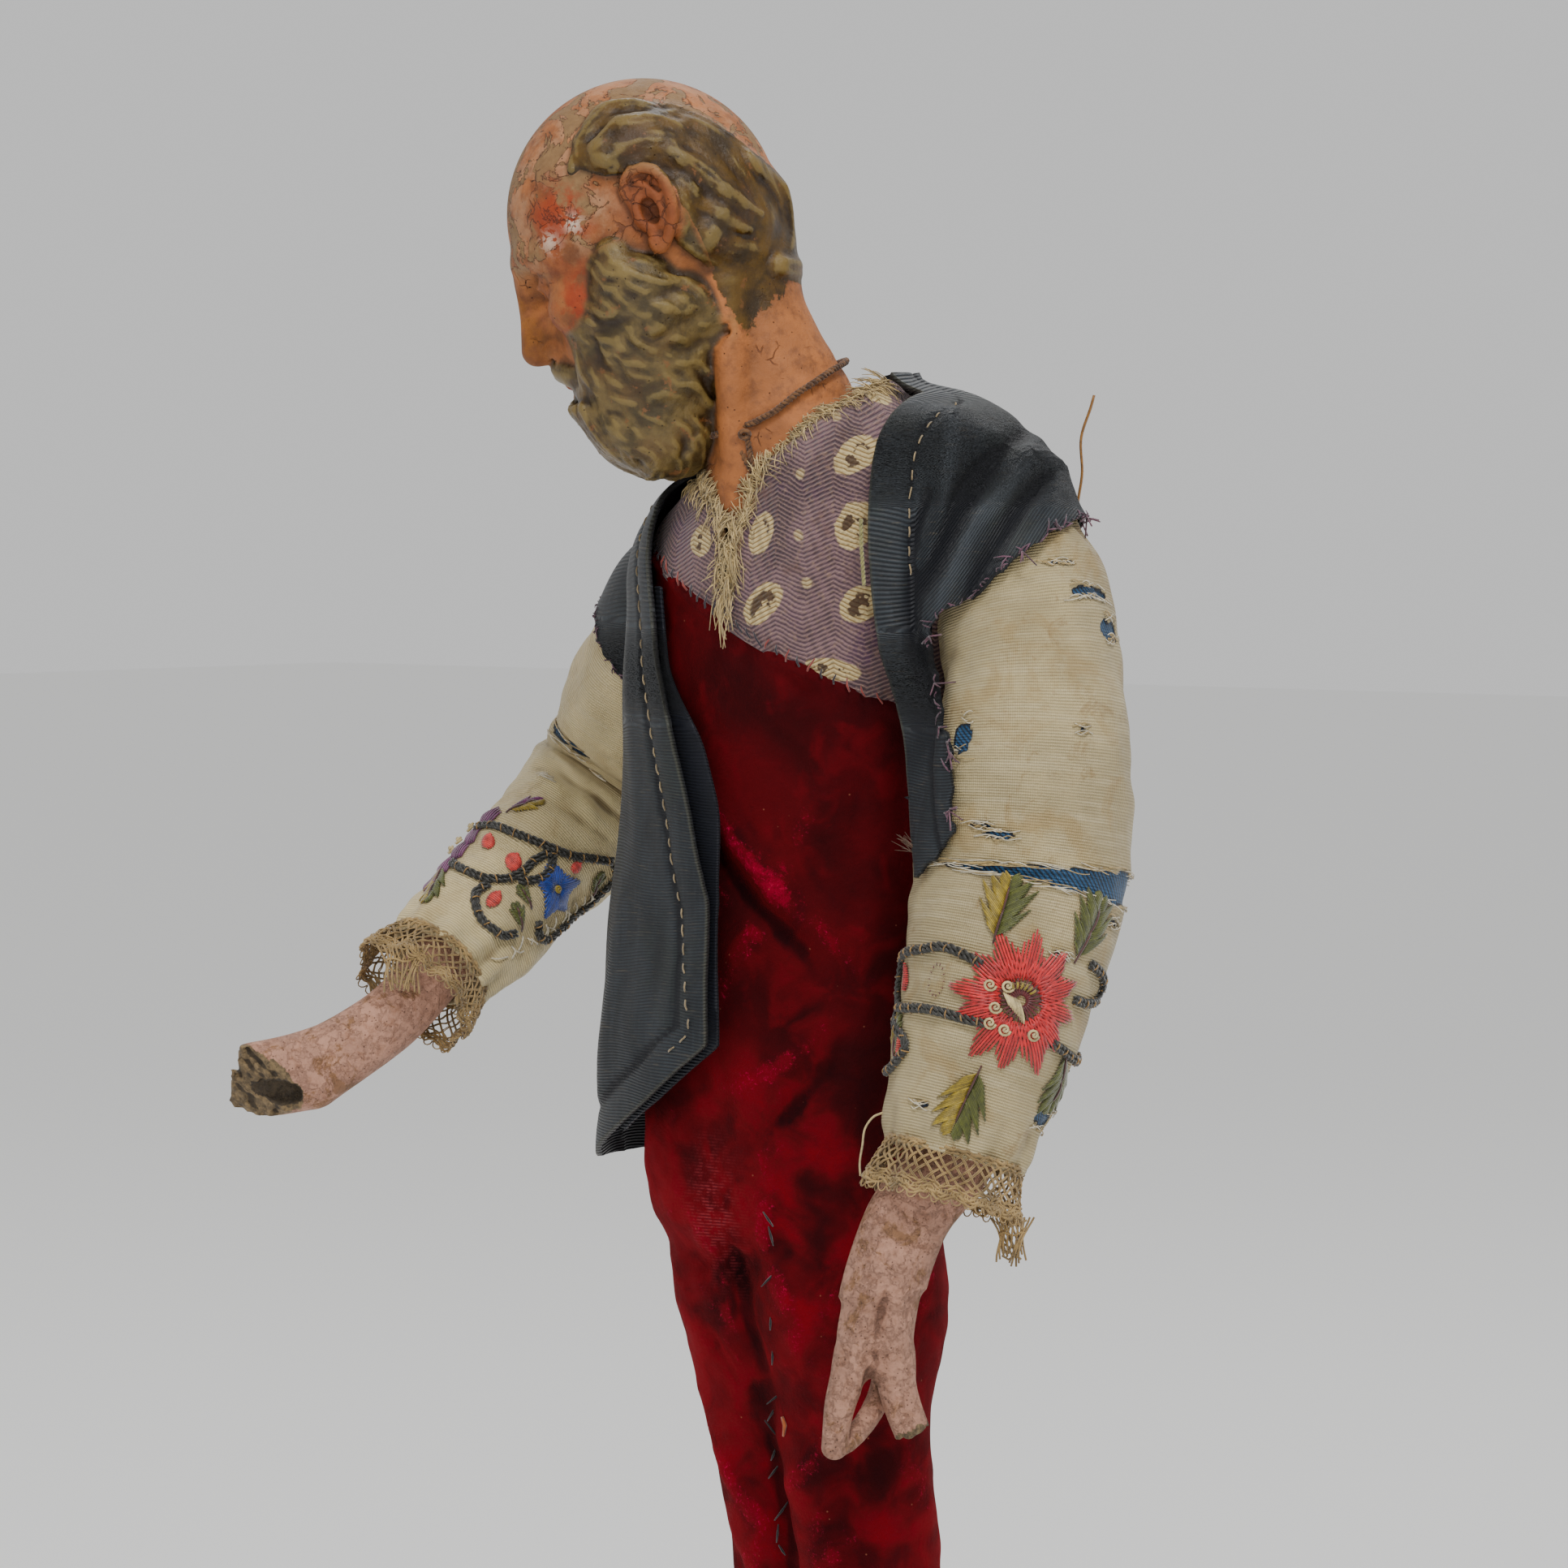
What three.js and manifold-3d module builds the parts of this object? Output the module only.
// A dressed crèche figure: an old bearded shepherd with a fired-clay head, carved hands and feet,
// a stuffed body in crimson velvet, a printed shirt, an open silk waistcoat and embroidered sleeves.
// Millimetres, +Z up. The origin is the middle of the base's underside. The figure faces -Y and its
// left side is +X.

import * as THREE from "three";
import { mergeVertices } from "three/addons/utils/BufferGeometryUtils.js";
import Module from "manifold-3d";

const wasm = await Module();
wasm.setup();

// Driving sizes
const FIGURE_HEIGHT = 342; // soles to crown, as the figure stands bent
const BASE_LENGTH = 110; // along X
const BASE_WIDTH = 84; // along Y
const BASE_HEIGHT = 12;
const BASE_CORNER = 9; // radius of the upright corners
const BASE_BEVEL = 1.6; // bevel round the top edge
const FIT = 0.3; // gap where two pieces touch
const SILK_WALL = 1.2; // waistcoat silk with its lining
const LACE_WALL = 1.0;
const LACE_DROP = 6.5; // how far a lace cuff falls past the end of its sleeve
const LACE_FLARE = 1; // how far its free edge stands out from the wrist
const THREAD_DIAMETER = 1.3;
const THREAD_EASE = 0.3; // slack of the thread round the neck
const SLEEVE_TUCK = 9; // length of wrist inside each sleeve

// The pose and the carving are laid out on a figure this tall, and keep their shares of the height.
const CANON_HEIGHT = 342;
const SHARE = FIGURE_HEIGHT / CANON_HEIGHT;
const SOLE = BASE_HEIGHT + FIT;

const v3 = (x, y, z) => new THREE.Vector3(x, y, z);

// Points of the pose, measured from the soles under the middle of the base.
const at = (x, y, z) =>
  new THREE.Vector3(x * SHARE, y * SHARE, z * SHARE + SOLE);

const POSE = {
  headCentre: at(-16.5, -24.3, 319.6),
  nape: at(-7, -16.3, 309),
  neckMiddle: at(-2.8, -13.5, 298),
  neckFoot: at(1.4, -10.6, 286),
  breast: at(3.6, -8.6, 276),
  breastEnd: at(4.4, -7.6, 262),
  shoulderLeft: at(35, 2.5, 277.5),
  upperArmLeft: at(42.4, -0.6, 250),
  elbowLeft: at(44.2, -5, 219),
  forearmLeft: at(43.2, -9.8, 201),
  cuffLeft: at(40.6, -17.2, 176),
  wristLeft: at(36.9, -23.7, 166.8),
  palmLeft: at(34.5, -27, 155.2),
  knucklesLeft: at(33.8, -27.8, 147),
  shoulderRight: at(-29.5, 7.6, 267.5),
  upperArmRight: at(-45, 14.2, 249),
  elbowRight: at(-57.5, 14.5, 228.5),
  forearmRight: at(-62.5, -3, 212),
  cuffRight: at(-63.6, -20.5, 199.4),
  wristRight: at(-67.6, -29, 190.4),
  palmRight: at(-76, -40.4, 183),
  handEndRight: at(-86, -51.4, 181),
};

// Head turned to its right and bowed.
const HEAD_TURN = THREE.MathUtils.degToRad(40);
const HEAD_BOW = THREE.MathUtils.degToRad(25);
const HEAD_BALL = 22 * SHARE; // radius of the ball that the face is laid out on

// Small vector helpers

const mix = (a, b, t) => a + (b - a) * t;
const smooth = (t) => t * t * (3 - 2 * t);
const clamp01 = (t) => Math.min(Math.max(t, 0), 1);

function spline(values, t) {
  const spans = values.length - 1;
  const place = clamp01(t) * spans;
  const i = Math.min(Math.floor(place), spans - 1);
  const near = (k) => values[Math.min(Math.max(k, 0), spans)];
  const u = place - i;
  const [a, b, c, d] = [near(i - 1), near(i), near(i + 1), near(i + 2)];
  return (
    b +
    0.5 *
      u *
      (c - a + u * (2 * a - 5 * b + 4 * c - d + u * (3 * (b - c) + d - a)))
  );
}

// Meshes and solids

const MERGE_REACH = 1e-4; // vertices nearer than this are one

function solidFrom(geometry) {
  const bare = new THREE.BufferGeometry();
  bare.setAttribute("position", geometry.getAttribute("position"));
  bare.setIndex(geometry.index);
  const merged = mergeVertices(bare, MERGE_REACH);
  return new wasm.Manifold(
    new wasm.Mesh({
      numProp: 3,
      vertProperties: merged.attributes.position.array,
      triVerts: new Uint32Array(merged.index.array),
    }),
  );
}

function geometryFrom(solid) {
  const mesh = solid.getMesh();
  const geometry = new THREE.BufferGeometry();
  geometry.setAttribute(
    "position",
    new THREE.BufferAttribute(new Float32Array(mesh.vertProperties), 3),
  );
  geometry.setIndex(new THREE.BufferAttribute(new Uint32Array(mesh.triVerts), 1));
  geometry.computeVertexNormals();
  return geometry;
}

const join = (solids) => solids.reduce((whole, piece) => whole.add(piece));
const cut = (body, tools) => tools.reduce((left, tool) => left.subtract(tool), body);

// Keeps the largest body of a cut piece, so that a sliver left by a cut isn't a piece of its own.
function mainBody(solid) {
  const bodies = solid.decompose();
  return bodies.reduce((big, next) => (next.volume() > big.volume() ? next : big));
}

// A closed skin over rings of points, which all run the same way round with as many points. It is
// capped at both ends, or runs from the last ring back to the first where it is a hoop.
function skin(rings, hoop = false) {
  const sides = rings[0].length;
  const points = rings.flat().flatMap((p) => [p.x, p.y, p.z]);
  const faces = [];
  rings.forEach((_, row) => {
    if (!hoop && row === rings.length - 1) return;
    const far = ((row + 1) % rings.length) * sides;
    for (let i = 0; i < sides; i++) {
      const next = (i + 1) % sides;
      const [a, b] = [row * sides + i, row * sides + next];
      faces.push(a, b, far + next, a, far + next, far + i);
    }
  });
  const close = (first, turned) => {
    const middle = rings[first / sides]
      .reduce((sum, p) => sum.add(p), new THREE.Vector3())
      .divideScalar(sides);
    const centre = points.push(middle.x, middle.y, middle.z) / 3 - 1;
    for (let i = 0; i < sides; i++) {
      const [a, b] = [first + i, first + ((i + 1) % sides)];
      faces.push(...(turned ? [centre, b, a] : [centre, a, b]));
    }
  };
  if (!hoop) {
    close(0, true);
    close((rings.length - 1) * sides, false);
  }
  const geometry = new THREE.BufferGeometry();
  geometry.setAttribute("position", new THREE.Float32BufferAttribute(points, 3));
  geometry.setIndex(faces);
  const solid = solidFrom(geometry);
  if (solid.volume() >= 0) return solid;
  geometry.setIndex(faces.map((_, k) => faces[k + 2 - 2 * (k % 3)]));
  return solidFrom(geometry);
}

// A limb through points, oval across. "across" and "deep" are half sizes along its length, and "side"
// is the way that "across" points. "ripple" adds to the radius, in mm, by length and turn.
function limb({ path, across, deep, side, sides, steps, ripple = () => 0, grow = 0 }) {
  const curve = new THREE.CatmullRomCurve3(path, false, "centripetal");
  const rings = [];
  for (let i = 0; i <= steps; i++) {
    const t = i / steps;
    const along = curve.getTangentAt(t);
    const centre = curve.getPointAt(t);
    if (i === 0) centre.addScaledVector(along, -grow);
    if (i === steps) centre.addScaledVector(along, grow);
    const x = side.clone().addScaledVector(along, -side.dot(along)).normalize();
    const y = new THREE.Vector3().crossVectors(along, x);
    const ring = [];
    for (let k = 0; k < sides; k++) {
      const turn = (2 * Math.PI * k) / sides;
      const extra = grow + ripple(t, turn) * SHARE;
      ring.push(
        centre
          .clone()
          .addScaledVector(x, (spline(across, t) * SHARE + extra) * Math.cos(turn))
          .addScaledVector(y, (spline(deep, t) * SHARE + extra) * Math.sin(turn)),
      );
    }
    rings.push(ring);
  }
  return skin(rings);
}

// A trunk of level rings. Each station is [height, x, y, half width to the left, half width to the
// right, half depth in front, half depth behind, rise to the left, rise to the back].
function trunk({ stations, sides, steps, square = 2.2, ripple = () => 0, grow = 0 }) {
  const rings = [];
  for (let i = 0; i <= steps; i++) {
    const t = i / steps;
    const [z, x, y, left, right, front, back, riseLeft, riseBack] = stations[0].map((_, k) =>
      spline(
        stations.map((s) => s[k]),
        t,
      ),
    );
    const capShift = i === 0 ? grow : i === steps ? -grow : 0;
    const ring = [];
    for (let k = 0; k < sides; k++) {
      const turn = (2 * Math.PI * k) / sides;
      const [c, s] = [Math.cos(turn), Math.sin(turn)];
      const round = (v) => Math.sign(v) * Math.abs(v) ** (2 / square);
      const extra = grow / SHARE + ripple(t, turn);
      const dx = round(c) * ((c > 0 ? left : right) + extra);
      const dy = round(s) * ((s > 0 ? back : front) + extra);
      const p = at(x + dx, y + dy, z + riseLeft * dx + riseBack * dy);
      p.z += capShift;
      ring.push(p);
    }
    rings.push(ring);
  }
  return skin(rings);
}

// A flat outline of [x, z] points, run from front to back between two depths.
function frontPrism(outline, front, back) {
  const shape = new THREE.Shape(
    outline.map(([x, z]) => {
      const p = at(x, 0, z);
      return new THREE.Vector2(p.x, p.z);
    }),
  );
  const depth = (back - front) * SHARE;
  const geometry = new THREE.ExtrudeGeometry(shape, {
    depth,
    bevelEnabled: false,
  });
  geometry.rotateX(Math.PI / 2);
  geometry.translate(0, back * SHARE, 0);
  return solidFrom(geometry);
}

// A block that fills the side of a plane that its normal points to.
function halfSpace(point, normal) {
  const reach = FIGURE_HEIGHT;
  const geometry = new THREE.BoxGeometry(2 * reach, 2 * reach, reach);
  geometry.translate(0, 0, reach / 2);
  geometry.applyQuaternion(
    new THREE.Quaternion().setFromUnitVectors(
      new THREE.Vector3(0, 0, 1),
      normal.clone().normalize(),
    ),
  );
  geometry.translate(point.x, point.y, point.z);
  return solidFrom(geometry);
}

// Carving by distance: each form gives the distance of a point to its surface, less than nought inside.

const oval = (centre, radii) => (p) => {
  const q = p.clone().sub(centre).divide(radii);
  const slope = q.clone().divide(radii).length();
  const reach = q.length();
  return slope < 1e-9 ? -radii.x : (reach * (reach - 1)) / slope;
};

const stroke = (a, b, radiusA, radiusB) => (p) => {
  const line = b.clone().sub(a);
  const t = clamp01(p.clone().sub(a).dot(line) / line.lengthSq());
  return p.distanceTo(a.clone().addScaledVector(line, t)) - mix(radiusA, radiusB, t);
};

// Joins two distances, or cuts the second from the first, with a fillet of about k.
const fuse = (a, b, k) => {
  const near = Math.max(k - Math.abs(a - b), 0) / k;
  return Math.min(a, b) - (near * near * k) / 4;
};
const carve = (a, b, k) => -fuse(-a, b, k);

// The head, in its own axes: x forward out of the face, y to the head's left, z up through the crown,
// in parts of the ball that the face is laid out on.

const step = (low, high, x) => smooth(clamp01((x - low) / (high - low)));

// Height of the hair band over the skull, which sweeps in ridges from the temples back to the nape.
function hairRise({ x, y, z }) {
  const upper = 0.7 - 1.7 * Math.max(0, -0.33 - x) ** 2 - 0.7 * Math.max(0, x + 0.33) ** 2;
  const lower = -0.36 + 0.95 * (x + 0.15);
  const front = mix(-0.16, 0.14, step(0, 0.5, z));
  const band = step(0, 0.08, upper - z) * step(0, 0.06, z - lower) * step(0, 0.08, front - x);
  const fromEar = Math.hypot(x + 0.1, z + 0.12);
  return band * (0.06 + 0.045 * Math.sin((2 * Math.PI * fromEar) / 0.3));
}

// Height of the wavy locks over the mass of the beard.
function beardRise({ x, y, z }) {
  const turn = Math.atan2(y, x - 0.3);
  return 0.07 * Math.sin(7 * turn + 2 * Math.sin(6 * z)) * step(0.62, 0.9, -z);
}

function headForms() {
  const soft = 0.16;
  const both = (make) => [make(1), make(-1)];
  const skull = oval(v3(-0.03, 0, -0.02), v3(0.97, 0.82, 0.97));
  const masses = [
    oval(v3(0.3, 0, -0.62), v3(0.56, 0.56, 0.72)),
    oval(v3(-0.58, 0, -0.7), v3(0.34, 0.42, 0.34)),
    stroke(v3(0.9, 0, -0.1), v3(1.1, 0, -0.56), 0.09, 0.13),
    ...both((s) => stroke(v3(0.98, s * 0.08, -0.6), v3(0.93, s * 0.13, -0.6), 0.1, 0.08)),
    ...both((s) => stroke(v3(0.9, s * 0.14, 0.02), v3(0.74, s * 0.46, 0.0), 0.12, 0.1)),
    ...both((s) => oval(v3(0.58, s * 0.46, -0.42), v3(0.3, 0.24, 0.24))),
  ];
  const roll = both((s) => stroke(v3(-0.74, 0, -0.83), v3(-0.66, s * 0.3, -0.83), 0.14, 0.13));
  const sockets = both((s) => oval(v3(0.98, s * 0.3, -0.2), v3(0.22, 0.19, 0.13)));
  const eyes = both((s) => oval(v3(0.74, s * 0.29, -0.21), v3(0.155, 0.155, 0.13)));
  const ears = both((s) => oval(v3(-0.1, s * 0.83, -0.16), v3(0.18, 0.15, 0.32)));
  const earHollows = both((s) => oval(v3(-0.08, s * 0.98, -0.12), v3(0.08, 0.1, 0.16)));
  const beard = [
    ...both((s) => stroke(v3(0.22, s * 0.34, -0.7), v3(0.46, s * 0.2, -1.36), 0.5, 0.42)),
    stroke(v3(0.08, 0, -0.92), v3(0.46, 0, -1.4), 0.42, 0.42),
    ...both((s) => stroke(v3(0.26, s * 0.78, -0.2), v3(0.2, s * 0.74, -0.66), 0.1, 0.2)),
  ];
  const moustache = both((s) =>
    stroke(v3(0.94, s * 0.07, -0.74), v3(0.6, s * 0.56, -0.98), 0.14, 0.1),
  );
  return (p) => {
    const near = (forms) => forms.map((distance) => distance(p));
    const bare = near(masses).reduce((a, b) => fuse(a, b, soft), skull(p) - hairRise(p));
    const socketed = near(sockets).reduce((a, b) => carve(a, b, 0.1), bare);
    const seeing = Math.min(socketed, ...near(eyes));
    const locks = near(beard).reduce((a, b) => fuse(a, b, 0.12)) - beardRise(p);
    const bearded = near(moustache).reduce((a, b) => fuse(a, b, 0.05), fuse(seeing, locks, 0.08));
    const rolled = fuse(bearded, Math.min(...near(roll)), 0.06);
    const eared = near(ears).reduce((a, b) => fuse(a, b, 0.05), rolled);
    return near(earHollows).reduce((a, b) => carve(a, b, 0.05), eared);
  };
}

const HEAD_FACETS = 9; // cuts along each edge of the ball that the head is carved from
const CARVING_FINENESS = 0.002; // how near a carved point comes to its form

function makeHead() {
  const form = headForms();
  const middle = v3(0.12, 0, -0.32);
  const far = 1.9;
  const geometry = mergeVertices(
    new THREE.IcosahedronGeometry(1, HEAD_FACETS).deleteAttribute("normal").deleteAttribute("uv"),
  );
  const place = geometry.getAttribute("position");
  const way = new THREE.Vector3();
  for (let i = 0; i < place.count; i++) {
    way.fromBufferAttribute(place, i).normalize();
    let reach = far;
    for (let tries = 0; tries < 90; tries++) {
      const d = form(middle.clone().addScaledVector(way, reach));
      if (d < CARVING_FINENESS) break;
      reach -= 0.6 * d;
    }
    const p = middle.clone().addScaledVector(way, reach);
    place.setXYZ(i, p.x, p.y, p.z);
  }
  geometry.scale(HEAD_BALL, HEAD_BALL, HEAD_BALL);
  geometry.rotateY(HEAD_BOW);
  geometry.rotateZ(Math.PI + HEAD_TURN);
  geometry.translate(POSE.headCentre.x, POSE.headCentre.y, POSE.headCentre.z);
  return join([solidFrom(geometry), makeBreast(0)]);
}

// The neck and the breast below it, which goes down inside the shirt.
const NECK = {
  path: [POSE.nape, POSE.neckMiddle, POSE.neckFoot, POSE.breast, POSE.breastEnd],
  across: [11.4, 11.2, 13.4, 16.5, 14],
  deep: [11.2, 11.2, 12.2, 13, 11],
  side: v3(0.97, 0.25, 0),
  sides: 16,
  steps: 7,
};

const makeBreast = (grow) => limb({ ...NECK, grow });

// The stuffed body

const HEM = 66; // height of the breeches' hem, in the pose's measure

const BODY = [
  [148, -3, -1, 9, 10, 7, 7, 0, 0],
  [155, -3.5, -2, 17, 18, 12, 12, 0, 0],
  [163, -4, -3, 23, 24, 16, 16.5, 0, 0],
  [183, -3, -3, 25, 26, 17, 18, 0, 0],
  [210, -0.5, -2, 24.5, 25, 18, 17, 0, 0],
  [233, 2, -1, 26, 28, 21, 19, 0, 0],
  [253, 4, -0.5, 29, 31, 24, 20, 0.03, 0],
  [267, 5, -1, 31, 32, 24, 20, 0.1, 0.02],
  [276.5, 5.5, -2, 30, 30, 21.6, 18, 0.18, 0.04],
  [283, 5, -4, 22.5, 22.5, 18.6, 14.6, 0.25, 0.12],
  [288.5, 3.5, -6.4, 14.2, 14.6, 13.6, 12, 0.42, 0.42],
];

// The velvet ends in front along a slanting sewn edge that rises to the figure's right.
const SEWN_EDGE = {
  middle: at(2, 0, 255),
  slope: 0.52,
};

function sewnEdgePlane(gap) {
  const up = v3(SEWN_EDGE.slope, 0, 1).normalize();
  return { point: SEWN_EDGE.middle.clone().addScaledVector(up, gap), up };
}

const body = (grow, ripple) =>
  trunk({ stations: BODY, sides: 20, steps: 10, grow, ripple });

// The shirt's neck is open in a narrow V, seen from the front.
const NECKLINE = [
  [0.2, 258.5],
  [2.5, 267.2],
  [5, 274.7],
  [8, 282.7],
  [11.9, 290.2],
  [15, 300],
  [-16, 300],
  [-9, 284],
  [-3.4, 268],
];
const NECKLINE_BACK = -10;

function makeShirt() {
  const { point, up } = sewnEdgePlane(FIT / 2);
  return mainBody(
    cut(body(0).intersect(halfSpace(point, up)), [
      makeBreast(FIT),
      makeThread(FIT),
      frontPrism(NECKLINE, -60, NECKLINE_BACK),
      ...Object.keys(SLEEVES).map((arm) => sleeve(arm, FIT)),
    ]),
  );
}

// Soft velvet folds below the waist, which wind round the trunk.
const velvetFolds = (t, turn) =>
  0.8 * Math.sin(5 * turn + 9 * t) * Math.sin(Math.PI * clamp01(t * 1.6)) ** 2;

function makeLeg({ hip, knee, hem, side, grow = 0 }) {
  return limb({
    path: [hip, knee, hem],
    across: [14, 15.6, 11.9, 11, 10.2, 10],
    deep: [12, 15.6, 12.4, 11.4, 10.6, 10.4],
    side,
    sides: 12,
    steps: 7,
    ripple: (t, turn) => 0.5 * Math.sin(3 * turn + 17 * t) * Math.sin(Math.PI * t),
    grow,
  });
}

const LEGS = {
  left: {
    hip: at(6.2, -2.4, 172),
    knee: at(9.6, 0.4, 107),
    hem: at(12.2, 3.2, HEM),
    ankle: at(14.6, 8, 11),
    toeOut: THREE.MathUtils.degToRad(14),
  },
  right: {
    hip: at(-12.2, -1.8, 172),
    knee: at(-7.8, 5, 105),
    hem: at(-8, 8.6, HEM),
    ankle: at(-9.5, 13.2, 11),
    toeOut: THREE.MathUtils.degToRad(-16),
  },
};

function makeVelvet() {
  const { point, up } = sewnEdgePlane(-FIT / 2);
  const upper = body(0, velvetFolds).intersect(halfSpace(point, up.clone().negate()));
  const side = v3(1, 0, 0);
  const legs = Object.values(LEGS).map(({ hip, knee, hem }) =>
    makeLeg({ hip, knee, hem, side }),
  );
  return mainBody(
    cut(join([upper, ...legs]), [
      makeBreast(FIT),
      ...Object.values(LEGS).map((leg) => makeCalf(leg, FIT)),
      ...Object.keys(SLEEVES).map((arm) => sleeve(arm, FIT)),
    ]),
  );
}

// Bare lower legs and feet

const CALF_TUCK = 8; // length of the calf inside the breeches

function makeCalf({ knee, hem, ankle }, grow = 0) {
  const up = knee.clone().sub(hem).normalize();
  const top = hem.clone().addScaledVector(up, CALF_TUCK * SHARE);
  return limb({
    path: [top, hem, hem.clone().lerp(ankle, 0.45), ankle],
    across: [6.8, 7.2, 7.4, 5.6, 4.6, 4.9],
    deep: [7.2, 8, 8.4, 6.4, 5.4, 6],
    side: v3(1, 0, 0),
    sides: 8,
    steps: 4,
    grow,
  });
}

const FOOT_LENGTH = 46;
const HEEL_BACK = 9; // heel behind the ankle
const TOE_REACH = 11; // tips of the toes past the ball of the foot

// Each toe is [place outward, half width, length past the ball], from the big toe out.
const TOES = [
  [-6.2, 3.2, 9.5],
  [-1.6, 2.5, 9],
  [1.9, 2.3, 8.2],
  [5, 2.1, 6.8],
  [7.7, 2, 5],
];

function makeFoot({ ankle, toeOut }, inner) {
  const forward = v3(Math.sin(toeOut), -Math.cos(toeOut), 0);
  const across = v3(Math.cos(toeOut), Math.sin(toeOut), 0);
  const floor = ankle.clone().setZ(SOLE);
  const spot = (ahead, out, up) =>
    floor
      .clone()
      .addScaledVector(forward, ahead * SHARE)
      .addScaledVector(across, out * inner * SHARE)
      .add(v3(0, 0, up * SHARE));
  const ball = FOOT_LENGTH - HEEL_BACK - TOE_REACH;
  const arch = limb({
    path: [
      spot(-HEEL_BACK, 0, 4.6),
      spot(-HEEL_BACK + 5, 0, 5.4),
      spot(4, 0, 7),
      spot(ball - 10, 0.6, 5.4),
      spot(ball + 1, 0.4, 3.2),
    ],
    across: [3.6, 5.8, 5.6, 6.6, 8.6, 8.6],
    deep: [3.4, 5.6, 7.2, 5.8, 3.8, 2.8],
    side: across,
    sides: 8,
    steps: 6,
  });
  const toes = TOES.map(([out, thick, long]) =>
    limb({
      path: [spot(ball - 4, out, 3), spot(ball + long * 0.6, out, 3), spot(ball + long, out, 2.2)],
      across: [thick, thick * 0.94, thick * 0.5],
      deep: [thick, thick * 0.9, thick * 0.5],
      side: across,
      sides: 5,
      steps: 2,
    }),
  );
  return join([arch, ...toes]).intersect(halfSpace(v3(0, 0, SOLE), v3(0, 0, 1)));
}

const makeLowerLeg = (leg, inner) => join([makeCalf(leg), makeFoot(leg, inner)]);

// Sleeves and what comes out of them

const sleeveRipple = (t, turn) =>
  0.55 * Math.sin(15 * t + 2.4 * Math.sin(turn)) * Math.sin(Math.PI * t) ** 0.5;

const SLEEVES = {
  left: {
    path: [
      POSE.shoulderLeft,
      POSE.upperArmLeft,
      POSE.elbowLeft,
      POSE.forearmLeft,
      POSE.cuffLeft,
    ],
    across: [7.4, 12.6, 14.4, 15.4, 16, 15.4, 13.6, 11.2],
    deep: [7.4, 12, 13.6, 14.6, 15.2, 14.6, 13, 10.8],
    side: v3(0.8, 0.6, 0),
    sides: 16,
    steps: 10,
  },
  right: {
    path: [
      POSE.shoulderRight,
      POSE.upperArmRight,
      POSE.elbowRight,
      POSE.forearmRight,
      POSE.cuffRight,
    ],
    across: [8.4, 12.4, 13.4, 13.4, 12.8, 12, 10.8, 9.8],
    deep: [8.4, 12.2, 12.8, 12.8, 12.2, 11.4, 10.2, 9.2],
    side: v3(0.4, -0.3, -0.87),
    sides: 16,
    steps: 10,
  },
};

const sleeve = (arm, grow = 0) => limb({ ...SLEEVES[arm], ripple: sleeveRipple, grow });

const WRISTS = {
  left: {
    path: [POSE.cuffLeft, POSE.wristLeft, POSE.palmLeft, POSE.knucklesLeft],
    across: [6.6, 6.9, 7.3, 7.6],
    deep: [6, 5.6, 4.6, 3.6],
    side: v3(0.72, 0.69, 0),
  },
  right: {
    path: [POSE.cuffRight, POSE.wristRight, POSE.palmRight, POSE.handEndRight],
    across: [5.6, 5.7, 6.4, 6.2],
    deep: [5, 4.8, 4.6, 4.2],
    side: v3(0.35, -0.2, 0.9),
  },
};

// The wrist runs back into its sleeve, and the sleeve is hollowed for it.
function wristAndPalm(hand, grow = 0) {
  const { path, across, deep, side } = WRISTS[hand];
  const out = path[1].clone().sub(path[0]).normalize();
  const sleeveWay = SLEEVES[hand].path.at(-1).clone().sub(SLEEVES[hand].path.at(-2)).normalize();
  const back = out.add(sleeveWay).normalize();
  const inside = path[0].clone().addScaledVector(back, -SLEEVE_TUCK);
  return limb({
    path: [inside, ...path],
    across: [across[0], ...across],
    deep: [deep[0], ...deep],
    side,
    sides: 10,
    steps: 7,
    grow,
  });
}

// Fingers: each is [points, half widths]. The left hand keeps one long finger, a thumb that meets its
// tip, and a broken stub. The right hand has lost all of its fingers.
const fingerLimb = (points, widths, steps = 3) =>
  limb({
    path: points,
    across: widths,
    deep: widths.map((w) => w * 0.94),
    side: v3(0.8, 0.5, 0.2),
    sides: 6,
    steps,
  });

function leftFingers() {
  return [
    fingerLimb([at(31.4, -29, 153), at(29.6, -31.6, 142), at(28.8, -34, 132.2)], [2.6, 3, 2.7]),
    fingerLimb([at(36.4, -26, 153), at(38, -25, 143.5), at(39.2, -24, 135.6)], [2.6, 3.2, 2.7]),
    fingerLimb([at(34, -26, 153), at(35.6, -24, 143), at(36.4, -23, 139)], [2.4, 3, 2.5]),
    fingerLimb(
      [at(32.4, -24.6, 153), at(33.8, -23.4, 143), at(33.8, -25.6, 136.4), at(30.6, -31, 133)],
      [2.6, 2.8, 2.6, 2.2],
      5,
    ),
  ];
}

// The break across the right palm is a slanting, uneven face.
function brokenPalm(solid) {
  const breaks = [
    [at(-83.6, -48.8, 181.6), v3(-0.72, -0.42, 0.55)],
    [at(-80, -47.4, 179.4), v3(-0.32, -0.66, -0.68)],
  ];
  return cut(
    solid,
    breaks.map(([point, normal]) => halfSpace(point, normal)),
  );
}

const makeLeftHand = () => join([wristAndPalm("left"), ...leftFingers()]);
const makeRightHand = () => brokenPalm(wristAndPalm("right"));
const makeSleeve = (arm) => cut(sleeve(arm), [wristAndPalm(arm, FIT)]);

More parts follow.
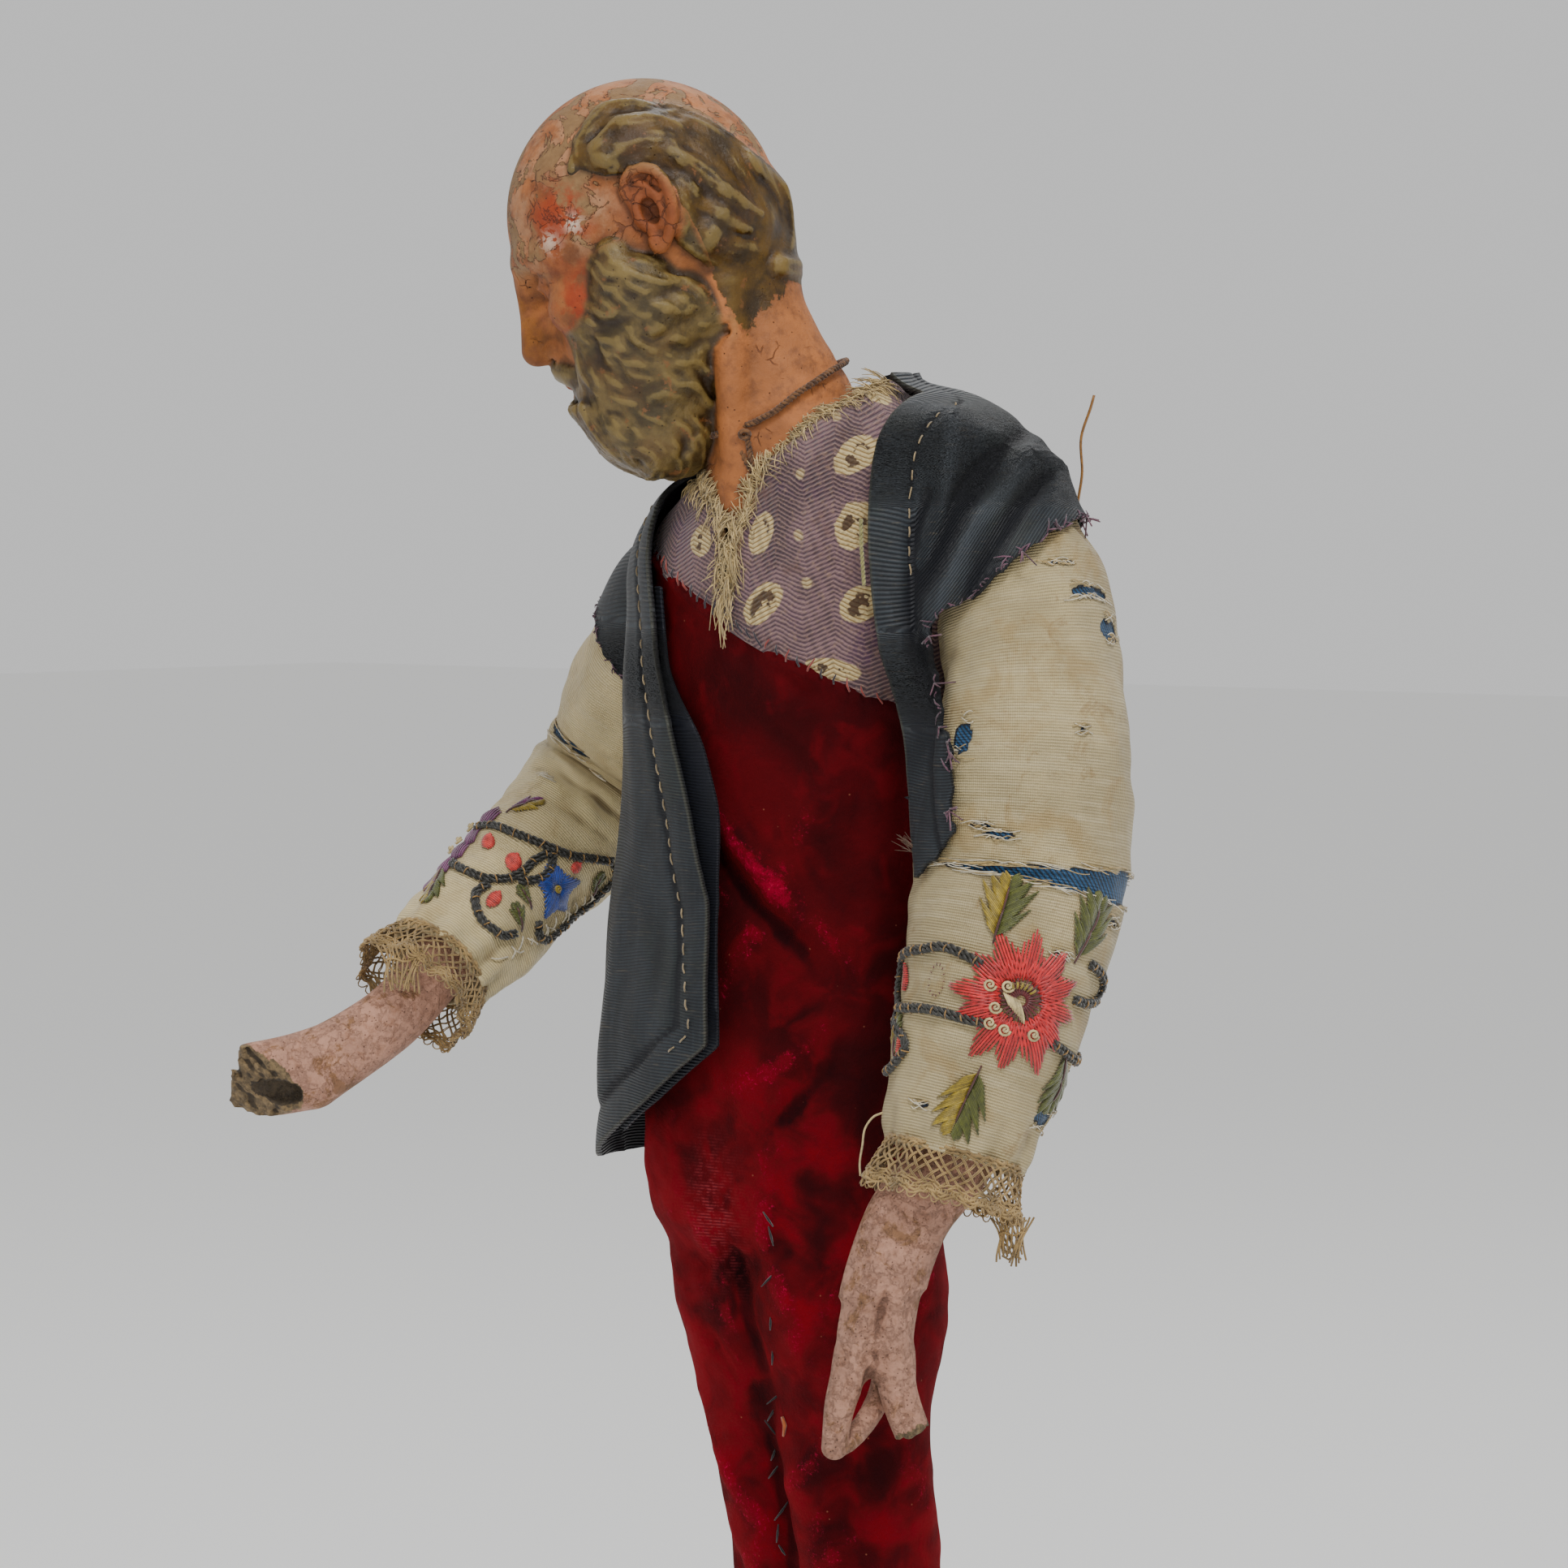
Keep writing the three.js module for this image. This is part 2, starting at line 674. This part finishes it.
// A lace cuff: a short band round the wrist, sewn on at the sleeve's end and flaring to its free edge.
function makeLace(arm) {
  const end = SLEEVES[arm].path.at(-1);
  const before = SLEEVES[arm].path.at(-2);
  const out = end.clone().sub(before).normalize();
  const side = SLEEVES[arm].side;
  const last = SLEEVES[arm].across.at(-1);
  const band = (wall, overrun) =>
    limb({
      path: [
        end.clone().addScaledVector(out, FIT - overrun),
        end.clone().addScaledVector(out, LACE_DROP * 0.5),
        end.clone().addScaledVector(out, LACE_DROP + overrun),
      ],
      across: [last - 0.4, last + LACE_FLARE * 0.4, last + LACE_FLARE],
      deep: [last - 0.6, last + LACE_FLARE * 0.3, last + LACE_FLARE * 0.8],
      side,
      sides: 14,
      steps: 2,
      ripple: (t, turn) => 0.7 * t * Math.sin(6 * turn),
      grow: -wall,
    });
  const outer = band(0, 0);
  const inner = band(LACE_WALL, LACE_WALL + FIT);
  return cut(outer, [inner, wristAndPalm(arm, FIT)]);
}

// The waistcoat: a thin shell over the body and the tops of the arms, open down the front.

const COAT = [
  [167, -3, -3, 30, 31.5, 24, 24, 0, 0],
  [184, -2.4, -2.8, 29, 32, 24.5, 24, 0, 0],
  [203, -1, -2, 28, 33, 24.5, 24.5, 0, 0],
  [226, 2, -1, 28.5, 33.5, 25, 24, 0, 0],
  [244, 3.5, -0.4, 31, 34, 26.4, 23.4, 0.02, 0],
  [258, 4.6, -0.6, 33.6, 34.6, 26.6, 22.8, 0.06, 0],
  [269, 5.2, -1.2, 34.4, 34.6, 25.6, 22, 0.12, 0.02],
  [278, 5.6, -2, 32.4, 32, 23, 19.8, 0.2, 0.04],
  [284.6, 5, -4, 24.6, 24.4, 20, 16.4, 0.27, 0.12],
  [289, 3.5, -6.2, 16.5, 16.5, 15.6, 13.6, 0.38, 0.3],
];

// The front edges and the hem in front, seen from the front: the right panel hangs to a corner that
// rises to its inner edge.
const FRONT_OPENING = [
  [-14, 306],
  [-16, 279],
  [-11, 250],
  [-4, 228],
  [0.4, 213],
  [0.6, 191],
  [-12, 182],
  [-36, 168],
  [-36, 158],
  [40, 158],
  [40, 168],
  [33.4, 196],
  [32, 222],
  [29, 252],
  [27.4, 277],
  [26.4, 306],
];
const COAT_HEM = 170.5;
const OPENING_BACK = -8; // the opening cuts no further back than this

const ARMHOLES = {
  left: { point: at(45.5, -7.5, 261.5), normal: v3(0.52, 0.3, -0.8), shift: v3(5.5, -1, 0) },
  right: { point: at(-43.8, 13, 251.5), normal: v3(-0.72, 0.22, -0.66), shift: v3(-3, 1, 2) },
};
const ARMHOLE_EASE = 6; // how far the armhole stands off its sleeve on the outer side

function makeWaistcoat() {
  const coat = (grow) => trunk({ stations: COAT, sides: 18, steps: 8, square: 2.3, grow });
  const arms = Object.keys(SLEEVES);
  const outer = join([
    coat(SILK_WALL),
    ...arms.map((arm) => {
      const { point, normal } = ARMHOLES[arm];
      return cut(sleeve(arm, FIT + SILK_WALL), [halfSpace(point, normal)]);
    }),
  ]);
  const inner = [coat(0), ...arms.map((arm) => sleeve(arm, FIT))];
  const armholes = arms.map((arm) => {
    const { point, normal, shift } = ARMHOLES[arm];
    const wide = limb({
      ...SLEEVES[arm],
      path: SLEEVES[arm].path.map((p) => p.clone().addScaledVector(shift, SHARE)),
      grow: ARMHOLE_EASE * SHARE,
    });
    return wide.intersect(halfSpace(point, normal));
  });
  const neck = limb({
    path: [at(2, -9, 262), POSE.breast, POSE.neckFoot, POSE.neckMiddle, POSE.nape],
    across: [10, 14, 18.5, 20, 24],
    deep: [8, 13, 16.5, 19, 24],
    side: v3(0.97, 0.25, 0),
    sides: 14,
    steps: 5,
  });
  const hem = halfSpace(at(0, 0, COAT_HEM), v3(0, 0, -1));
  const opening = frontPrism(FRONT_OPENING, -70, OPENING_BACK);
  return mainBody(cut(outer, [...inner, ...armholes, neck, hem, opening]));
}

// A thread tied round the neck, a fit clear of the neck's own oval. Its middle and its tilts are parts
// of the neck's length: it hangs low on the breast in front and runs high behind and to the left.
const THREAD_RING = { middle: 0.47, frontDrop: 0.17, leftRise: 0.15, turns: 24, sides: 6 };

function makeThread(grow = 0) {
  const { middle, frontDrop, leftRise, turns, sides } = THREAD_RING;
  const neck = new THREE.CatmullRomCurve3(NECK.path, false, "centripetal");
  const radius = THREAD_DIAMETER / 2;
  const clear = radius + FIT + THREAD_EASE;
  const rings = Array.from({ length: turns }, (_, i) => {
    const turn = (2 * Math.PI * i) / turns;
    const t = middle + frontDrop * Math.sin(turn) - leftRise * Math.cos(turn);
    const along = neck.getTangentAt(t);
    const x = NECK.side.clone().addScaledVector(along, -NECK.side.dot(along)).normalize();
    const y = new THREE.Vector3().crossVectors(along, x);
    const reach = x
      .multiplyScalar((spline(NECK.across, t) * SHARE + clear) * Math.cos(turn))
      .addScaledVector(y, (spline(NECK.deep, t) * SHARE + clear) * Math.sin(turn));
    const centre = neck.getPointAt(t).add(reach);
    const out = reach.normalize();
    return Array.from({ length: sides }, (_, k) => {
      const round = (2 * Math.PI * k) / sides;
      return centre
        .clone()
        .addScaledVector(out, (radius + grow) * Math.cos(round))
        .addScaledVector(along, (radius + grow) * Math.sin(round));
    });
  });
  return skin(rings, true);
}

// The base: a low block with rounded corners and a bevelled top edge.
function makeBase() {
  const shape = new THREE.Shape();
  const [x, y] = [BASE_LENGTH / 2 - BASE_BEVEL, BASE_WIDTH / 2 - BASE_BEVEL];
  const r = BASE_CORNER - BASE_BEVEL;
  shape.absarc(x - r, y - r, r, 0, Math.PI / 2);
  shape.absarc(r - x, y - r, r, Math.PI / 2, Math.PI);
  shape.absarc(r - x, r - y, r, Math.PI, 1.5 * Math.PI);
  shape.absarc(x - r, r - y, r, 1.5 * Math.PI, 2 * Math.PI);
  const geometry = new THREE.ExtrudeGeometry(shape, {
    depth: BASE_HEIGHT - 2 * BASE_BEVEL,
    bevelSize: BASE_BEVEL,
    bevelThickness: BASE_BEVEL,
    bevelSegments: 1,
    curveSegments: 3,
  });
  geometry.translate(0, 0, BASE_BEVEL);
  return solidFrom(geometry);
}

// Finishes

const finish = (color, roughness) =>
  new THREE.MeshStandardMaterial({ color, roughness, metalness: 0 });

const PAINTED_CLAY = finish(0xa9745a, 0.6);
const PAINTED_HAND = finish(0xb08474, 0.65);
const PRINTED_COTTON = finish(0x5b4b58, 0.95);
const SLATE_SILK = finish(0x39434f, 0.7);
const CRIMSON_VELVET = finish(0x6b0612, 0.9);
const CREAM_SILK = finish(0xb3a27d, 0.6);
const BOBBIN_LACE = finish(0x9a7f58, 0.9);
const BROWN_THREAD = finish(0x5d3f26, 0.9);
const BASE_WOOD = finish(0x4a3524, 0.6);

const PIECES = [
  ["base", makeBase, BASE_WOOD],
  ["leg_left", () => makeLowerLeg(LEGS.left, 1), PAINTED_HAND],
  ["leg_right", () => makeLowerLeg(LEGS.right, -1), PAINTED_HAND],
  ["velvet_breeches", makeVelvet, CRIMSON_VELVET],
  ["shirt", makeShirt, PRINTED_COTTON],
  ["waistcoat", makeWaistcoat, SLATE_SILK],
  ["sleeve_left", () => makeSleeve("left"), CREAM_SILK],
  ["sleeve_right", () => makeSleeve("right"), CREAM_SILK],
  ["lace_cuff_left", () => makeLace("left"), BOBBIN_LACE],
  ["lace_cuff_right", () => makeLace("right"), BOBBIN_LACE],
  ["hand_left", makeLeftHand, PAINTED_HAND],
  ["hand_right", makeRightHand, PAINTED_HAND],
  ["head", makeHead, PAINTED_CLAY],
  ["neck_thread", makeThread, BROWN_THREAD],
];

const figure = new THREE.Group();
for (const [name, make, material] of PIECES) {
  const mesh = new THREE.Mesh(geometryFrom(make()), material);
  mesh.name = name;
  figure.add(mesh);
}

export default figure;
